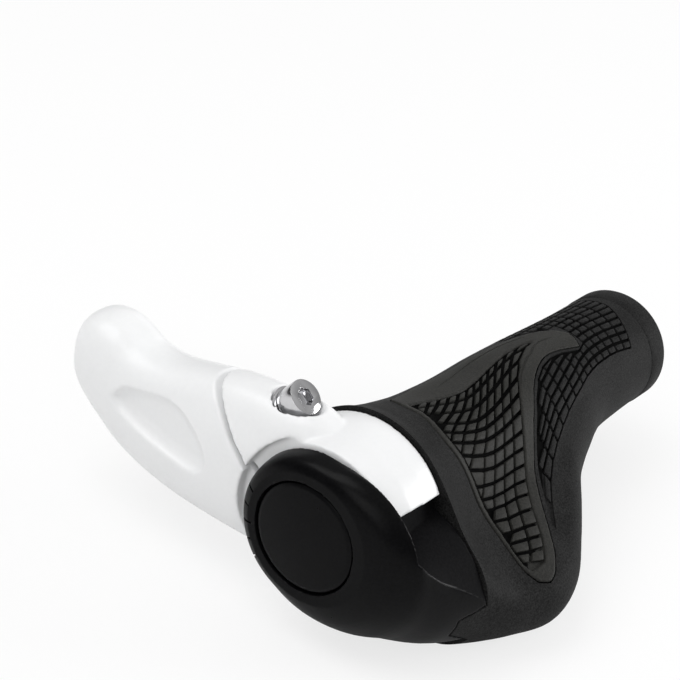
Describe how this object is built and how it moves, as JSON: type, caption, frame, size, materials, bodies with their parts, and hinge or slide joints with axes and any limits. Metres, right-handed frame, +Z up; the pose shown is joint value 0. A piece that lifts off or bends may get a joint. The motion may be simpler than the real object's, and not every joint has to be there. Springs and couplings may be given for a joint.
{
  "type": "handlebar grip",
  "caption": "Ergonomic bicycle handlebar grip with a drooping palm wing, a closed outer end and a short clamp-on bar end that turns for adjustment.",
  "frame": {"origin": "on the handlebar's axis, at the outer face of the end plug", "axes": "+X along the bar towards its middle, +Y forward to the bar end's tip, +Z up"},
  "size_m": [0.138, 0.1234, 0.0539],
  "materials": {
    "core_plastic": "matte",
    "black_rubber": "matte",
    "grey_rubber": "matte",
    "black_plastic": "satin",
    "white_plastic": "satin gloss",
    "bolt_steel": "polished"
  },
  "bodies": {
    "grip": {"core_sleeve": "core_plastic", "rubber_body": "black_rubber", "palm_inlay_upper": "grey_rubber", "palm_inlay_lower": "grey_rubber", "end_cover": "black_plastic", "end_plug": "black_plastic"},
    "bar_end_clamp": {"bar_end": "white_plastic", "clamp_bolt": "bolt_steel", "bolt_washer": "bolt_steel", "clamp_nut": "bolt_steel"}
  },
  "joints": [
    {"name": "bar_end_turn", "type": "hinge", "parent": "grip", "child": "bar_end_clamp", "pos_m": [0.015, 0, 0], "axis": [1, 0, 0], "range_deg": [-10, 10]}
  ]
}
